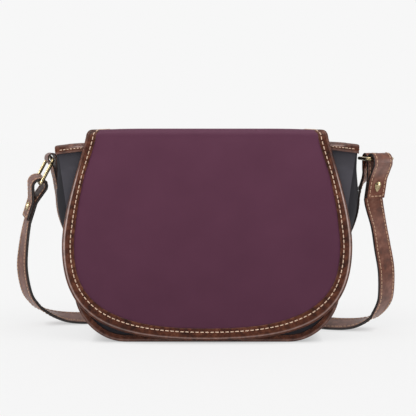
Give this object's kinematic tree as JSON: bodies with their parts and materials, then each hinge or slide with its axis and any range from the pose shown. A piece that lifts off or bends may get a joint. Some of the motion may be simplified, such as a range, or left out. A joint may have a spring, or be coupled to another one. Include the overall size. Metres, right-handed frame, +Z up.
{
  "type": "saddle handbag",
  "caption": "Saddle handbag: stiffened cloth body, wide leather-bound flap folding over the top on two creases, and a flat shoulder strap on metal rings.",
  "frame": {"origin": "middle of the flat underside, on the surface that the bag stands on", "axes": "+X to the right of someone facing the flap, +Y to the back of the bag, +Z up"},
  "size_m": [0.3947, 0.1368, 0.21],
  "materials": {
    "flap_cloth": "matte fine weave, plum",
    "body_cloth": "matte fine weave, charcoal",
    "lining_cloth": "matte lining",
    "trim_leather": "glossy mottled brown, cream stitching",
    "strap_leather": "semi-gloss mottled brown, dark painted edges, cream stitching",
    "brass": "aged brass, polished",
    "board": "stiffening board"
  },
  "bodies": {
    "bag": {"front_panel": "body_cloth", "back_panel": "body_cloth", "gusset": "body_cloth", "base_board": "board", "lining": "lining_cloth", "front_rim_band": "trim_leather", "back_rim_band": "trim_leather", "front_binding": "trim_leather", "back_binding": "trim_leather", "gusset_trim_left": "trim_leather", "gusset_trim_right": "trim_leather", "root_panel": "flap_cloth", "root_lining": "lining_cloth", "root_binding": "trim_leather", "snap_socket": "brass", "snap_socket_plate": "brass", "tab_left": "trim_leather", "tab_right": "trim_leather"},
    "crown": {"crown_panel": "flap_cloth", "crown_lining": "lining_cloth", "crown_binding_left": "trim_leather", "crown_binding_right": "trim_leather"},
    "flap": {"flap_panel": "flap_cloth", "flap_lining": "lining_cloth", "flap_binding": "trim_leather", "snap_stud": "brass"},
    "strap": {"strap": "strap_leather", "stud_left": "brass", "stud_right": "brass", "stud_plate_left": "brass", "stud_plate_right": "brass"},
    "ring_left": {"ring_left": "brass"},
    "ring_right": {"ring_right": "brass"}
  },
  "joints": [
    {"name": "flap_lift", "type": "hinge", "parent": "bag", "child": "crown", "pos_m": [0, 0.04466, 0.20766], "axis": [-1, 0, 0], "range_deg": [0, 135]},
    {"name": "flap_fold", "type": "hinge", "parent": "crown", "child": "flap", "pos_m": [0, -0.04466, 0.20766], "axis": [-1, 0, 0], "range_deg": [0, 90]},
    {"name": "strap_lift", "type": "hinge", "parent": "bag", "child": "strap", "pos_m": [0, 0, 0.18], "axis": [1, 0, 0], "range_deg": [0, 180], "deforming": ["tab_left", "tab_right"]},
    {"name": "ring_left_swing", "type": "hinge", "parent": "strap", "child": "ring_left", "pos_m": [-0.1704, -0.00179, 0.1563], "axis": [0.301, -0.9382, -0.1706], "range_deg": [0, 20]},
    {"name": "ring_right_swing", "type": "hinge", "parent": "strap", "child": "ring_right", "pos_m": [0.16959, -0.03144, 0.18], "axis": [0.9848, 0.1736, 0], "range_deg": [-8, 8]}
  ]
}
